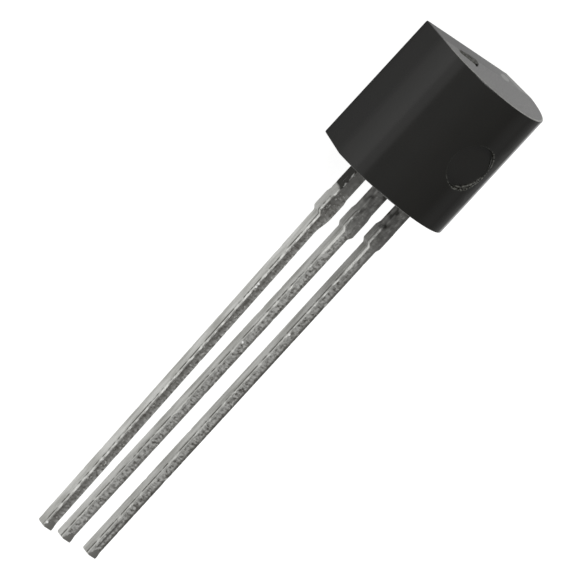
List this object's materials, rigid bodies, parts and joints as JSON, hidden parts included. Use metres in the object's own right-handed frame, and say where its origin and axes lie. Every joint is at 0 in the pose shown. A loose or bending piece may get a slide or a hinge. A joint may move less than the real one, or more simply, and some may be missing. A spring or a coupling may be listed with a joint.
{
  "type": "to-92 transistor",
  "caption": "Small-signal transistor in a moulded case with a flat face and a round back, and a row of stamped leads that solder into a board.",
  "frame": {"origin": "middle of the flat face of the case", "axes": "+X along the row of leads from the collector to the emitter, +Y from the lead tips to the top of the case, +Z from the flat face to the round back"},
  "size_m": [0.0046, 0.0188, 0.0034],
  "materials": {
    "moulding_epoxy": "satin, as moulded",
    "tinned_lead": "dull tin plate over stamped strip",
    "silicon": "polished",
    "solder": "dull",
    "gold_wire": "bright"
  },
  "bodies": {
    "root": {"case": "moulding_epoxy", "collector_lead": "tinned_lead", "base_lead": "tinned_lead", "emitter_lead": "tinned_lead", "silicon_die": "silicon", "die_bond": "solder", "emitter_wire": "gold_wire", "base_wire": "gold_wire"}
  },
  "joints": []
}
